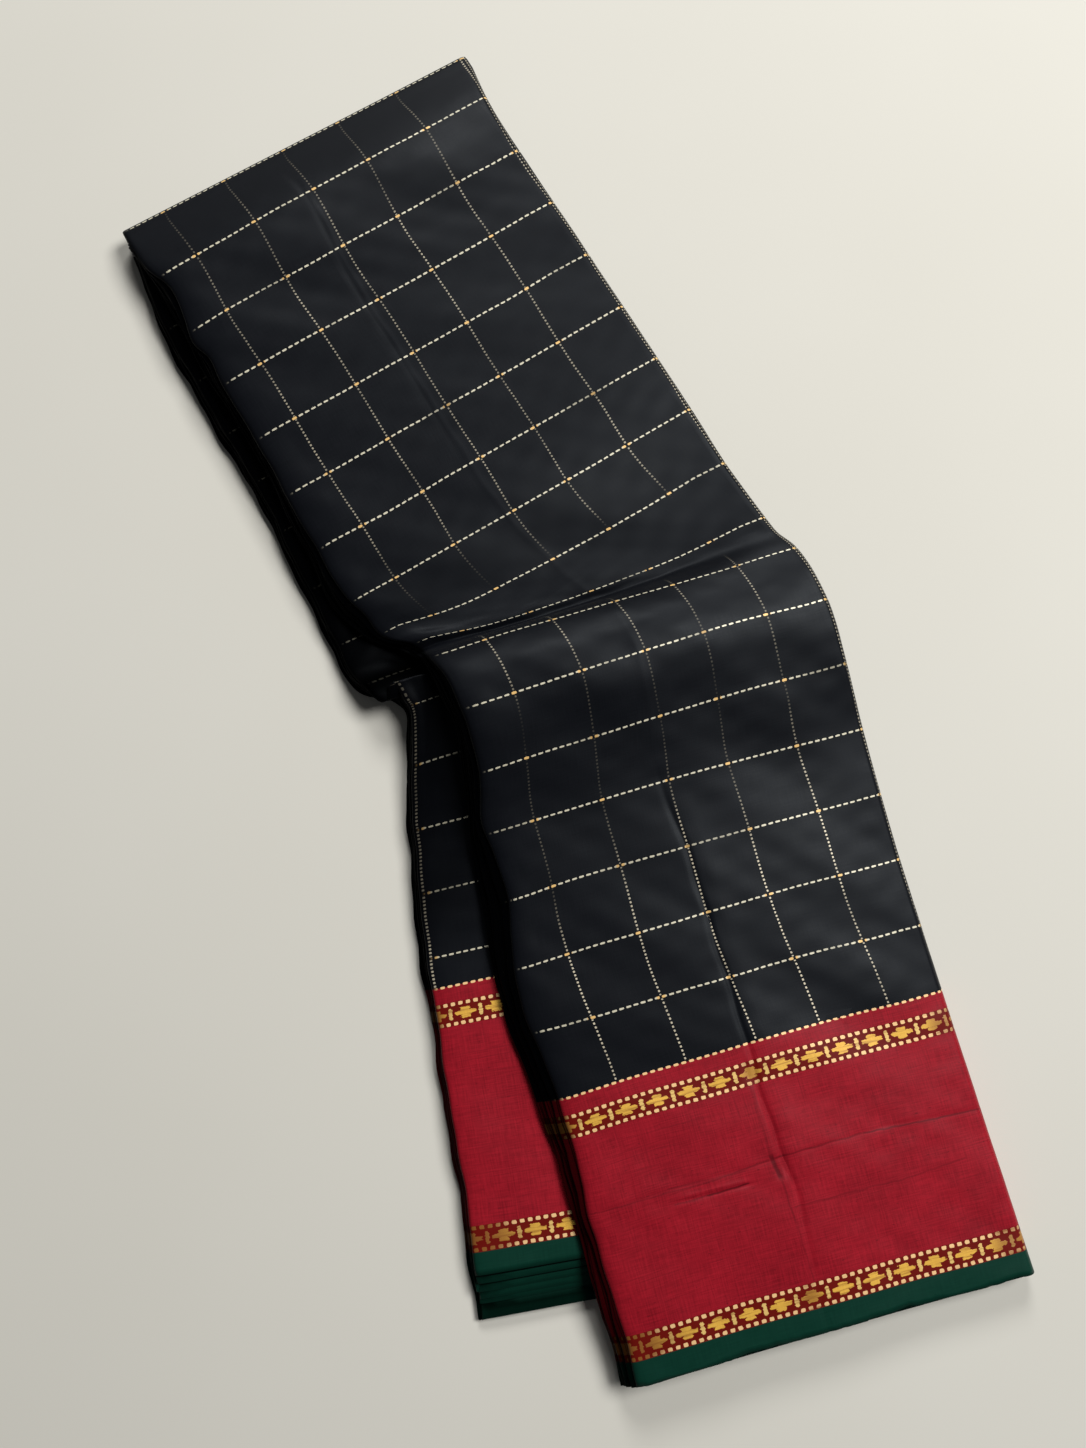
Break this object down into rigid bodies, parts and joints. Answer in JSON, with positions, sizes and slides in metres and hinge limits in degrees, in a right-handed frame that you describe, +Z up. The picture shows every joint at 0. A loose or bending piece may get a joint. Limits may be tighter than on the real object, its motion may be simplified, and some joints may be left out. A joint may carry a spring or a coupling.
{
  "type": "folded saree",
  "caption": "Folded silk saree lying flat: black checked field, red border with woven gold bands and green selvedge, the bundle turned over itself at one end and softly bent.",
  "frame": {"origin": "middle of the outline in plan, on the floor that the bundle rests on", "axes": "+Y along the bundle towards its end fold, +Z up from the floor to the top leaf, +X across the bundle towards the side with the single round fold"},
  "size_m": [0.2572, 0.584, 0.0409],
  "materials": {
    "black_silk": "black silk with a soft sheen and dashed gold thread checks",
    "red_silk": "deep red silk, slightly slubbed, soft sheen",
    "zari": "woven gold thread on dark red silk",
    "green_silk": "dark green silk"
  },
  "bodies": {
    "root": {"field_upper": "black_silk", "red_strip_upper": "red_silk", "zari_band_inner_upper": "zari", "red_border_upper": "red_silk", "zari_band_outer_upper": "zari", "selvedge_upper": "green_silk", "field_under": "black_silk", "red_strip_under": "red_silk", "zari_band_inner_under": "zari", "red_border_under": "red_silk", "zari_band_outer_under": "zari", "selvedge_under": "green_silk", "inner_field_upper": "black_silk", "inner_border_upper": "red_silk", "inner_selvedge_upper": "green_silk", "inner_field_under": "black_silk", "inner_border_under": "red_silk", "inner_selvedge_under": "green_silk", "sole_field": "black_silk", "sole_border": "red_silk", "sole_selvedge": "green_silk", "fold_cover": "black_silk", "inner_fold": "black_silk"}
  },
  "joints": []
}
